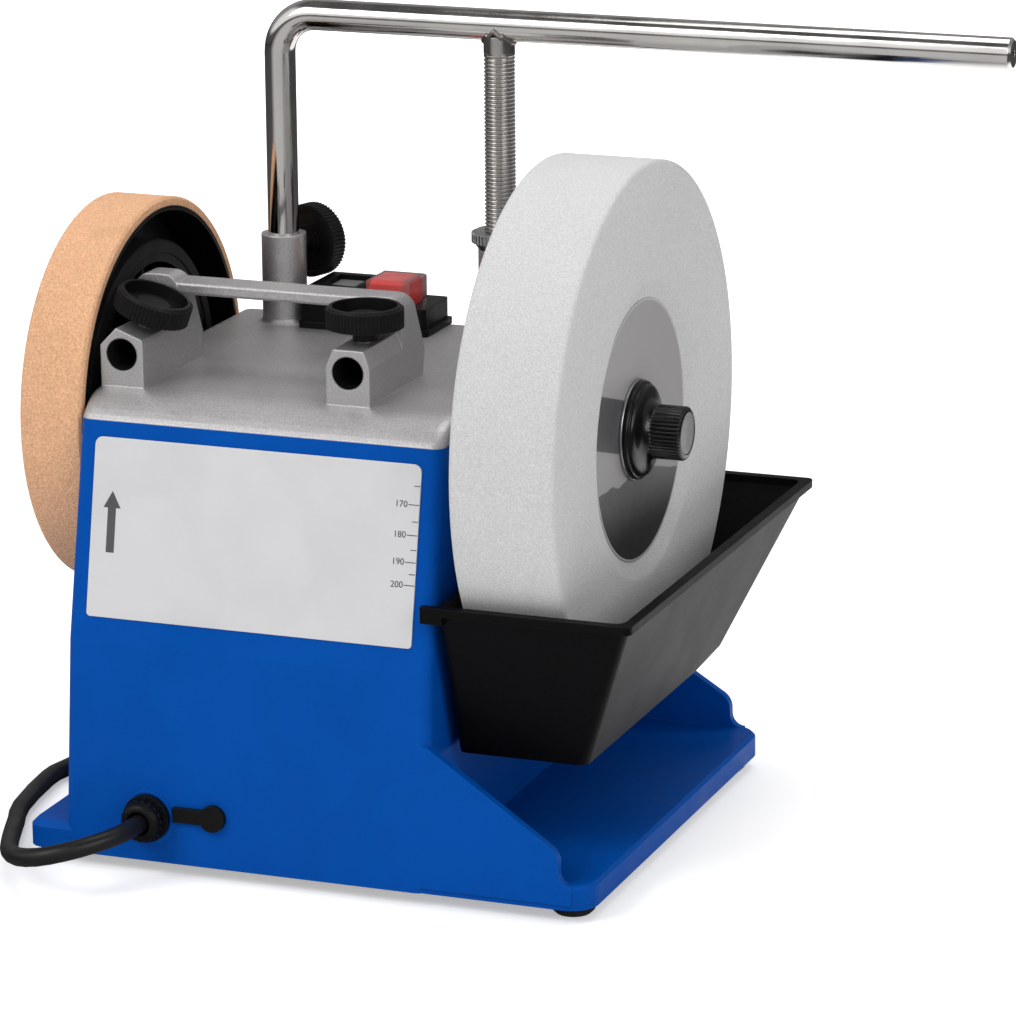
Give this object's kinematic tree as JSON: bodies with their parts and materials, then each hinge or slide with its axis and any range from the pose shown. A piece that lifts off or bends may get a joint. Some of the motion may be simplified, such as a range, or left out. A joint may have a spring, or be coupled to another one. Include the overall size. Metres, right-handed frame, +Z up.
{
  "type": "wet grinding sharpener",
  "caption": "Water-cooled bench sharpener with a large grindstone, a leather honing wheel, a cast top with handle and sleeves, an adjustable tool support bar and a lift-off water trough.",
  "frame": {"origin": "On the bench, under the middle of the machine's bounding box without its cord.", "axes": "+X along the shaft from honing wheel to grindstone, +Y to the back, +Z up. The front with the label faces -Y."},
  "size_m": [0.3652, 0.3944, 0.3021],
  "materials": {
    "blue_casing": "satin moulded plastic, saturated blue",
    "black_plastic": "fine-grained black moulding",
    "trough_plastic": "matt black polypropylene",
    "grey_plastic": "matt mid-grey moulding",
    "red_plastic": "translucent red, polished",
    "label_film": "plain pale grey printed film",
    "cast_metal": "tumbled die casting, slightly rough",
    "motor_iron": "laminated iron, varnished",
    "steel": "turned and drawn bright steel",
    "bronze": "sintered bronze",
    "rubber": "matt black rubber",
    "cord_rubber": "matt black cord jacket",
    "stone": "fine aluminium-oxide grit, pale grey",
    "leather": "natural vegetable-tanned leather, suede side out"
  },
  "bodies": {
    "machine": {"casing": "blue_casing", "bottom_cover": "black_plastic", "cover_screws": "steel", "rubber_feet": "rubber", "label_plate": "label_film", "top_casting": "cast_metal", "casting_screws": "steel", "bush_left": "bronze", "bush_right": "bronze", "switch_housing": "black_plastic", "motor_stator": "motor_iron", "motor_end_bells": "cast_metal", "motor_bracket": "steel", "motor_pin": "steel", "motor_spring": "steel", "capacitor": "cast_metal", "cord_gland": "black_plastic", "gland_strap": "black_plastic", "cord_tube": "cord_rubber", "cord_coil": "cord_rubber", "cord_tail": "cord_rubber", "plug": "black_plastic"},
    "shaft": {"main_shaft": "steel", "shaft_clips": "steel", "stone_flange": "black_plastic", "grindstone": "stone", "label_disc": "label_film", "stone_washer": "steel", "honing_drum": "black_plastic", "leather_band": "leather", "friction_ring": "rubber"},
    "rotor": {"motor_shaft": "steel", "motor_fan": "black_plastic"},
    "stone_nut": {"stone_nut": "black_plastic"},
    "honing_nut": {"honing_nut": "black_plastic"},
    "support": {"support_bar": "steel", "threaded_leg": "steel"},
    "adjusting_nut": {"adjusting_nut": "steel"},
    "knob_front_left": {"knob_front_left": "black_plastic", "screw_front_left": "steel"},
    "knob_front_right": {"knob_front_right": "black_plastic", "screw_front_right": "steel"},
    "knob_rear_left": {"knob_rear_left": "black_plastic", "screw_rear_left": "steel"},
    "knob_rear_right": {"knob_rear_right": "black_plastic", "screw_rear_right": "steel"},
    "start_button": {"start_button": "grey_plastic"},
    "stop_button": {"stop_button": "red_plastic"},
    "trough": {"water_trough": "trough_plastic"}
  },
  "joints": [
    {"name": "shaft_spin", "type": "hinge", "parent": "machine", "child": "shaft", "pos_m": [-0.0666, -0.0095, 0.1582], "axis": [1, 0, 0], "continuous": true},
    {"name": "rotor_spin", "type": "hinge", "parent": "machine", "child": "rotor", "pos_m": [-0.0666, -0.0095, 0.09615], "axis": [1, 0, 0], "continuous": true},
    {"name": "stone_nut_turn", "type": "hinge", "parent": "shaft", "child": "stone_nut", "pos_m": [0.0634, -0.0095, 0.1582], "axis": [1, 0, 0], "range_deg": [0, 2520]},
    {"name": "honing_nut_turn", "type": "hinge", "parent": "shaft", "child": "honing_nut", "pos_m": [-0.1696, -0.0095, 0.1582], "axis": [-1, 0, 0], "range_deg": [0, 1800]},
    {"name": "support_lift", "type": "slide", "parent": "machine", "child": "support", "axis": [0, 0, 1], "range_m": [0, 0.04]},
    {"name": "adjusting_nut_turn", "type": "hinge", "parent": "support", "child": "adjusting_nut", "pos_m": [-0.0243, 0.0454, 0.2138], "axis": [0, 0, 1], "continuous": true},
    {"name": "knob_front_left_turn", "type": "hinge", "parent": "machine", "child": "knob_front_left", "pos_m": [-0.1294, -0.0548, 0.1868], "axis": [0.3256, 0, 0.9455], "range_deg": [-115, 720]},
    {"name": "knob_front_right_turn", "type": "hinge", "parent": "machine", "child": "knob_front_right", "pos_m": [-0.0392, -0.0548, 0.1868], "axis": [0, 0, 1], "range_deg": [-115, 720]},
    {"name": "knob_rear_left_turn", "type": "hinge", "parent": "machine", "child": "knob_rear_left", "pos_m": [-0.1145, 0.0454, 0.2044], "axis": [0.309, 0.9511, 0], "range_deg": [-115, 720]},
    {"name": "knob_rear_right_turn", "type": "hinge", "parent": "machine", "child": "knob_rear_right", "pos_m": [-0.0243, 0.0454, 0.2044], "axis": [0.309, 0.9511, 0], "range_deg": [-115, 720]},
    {"name": "start_press", "type": "slide", "parent": "machine", "child": "start_button", "axis": [0, 0, 1], "range_m": [-0.003, 0], "stiffness_N_per_m": 400, "springref_m": 0.003},
    {"name": "stop_press", "type": "slide", "parent": "machine", "child": "stop_button", "axis": [0, 0, 1], "range_m": [-0.003, 0], "stiffness_N_per_m": 400, "springref_m": 0.003},
    {"name": "trough_slide", "type": "slide", "parent": "machine", "child": "trough", "axis": [0, 0, 1], "range_m": [-0.02, 0]}
  ],
  "couplings": [
    {"joint": "rotor_spin", "follows": "shaft_spin", "ratio": -12}
  ]
}
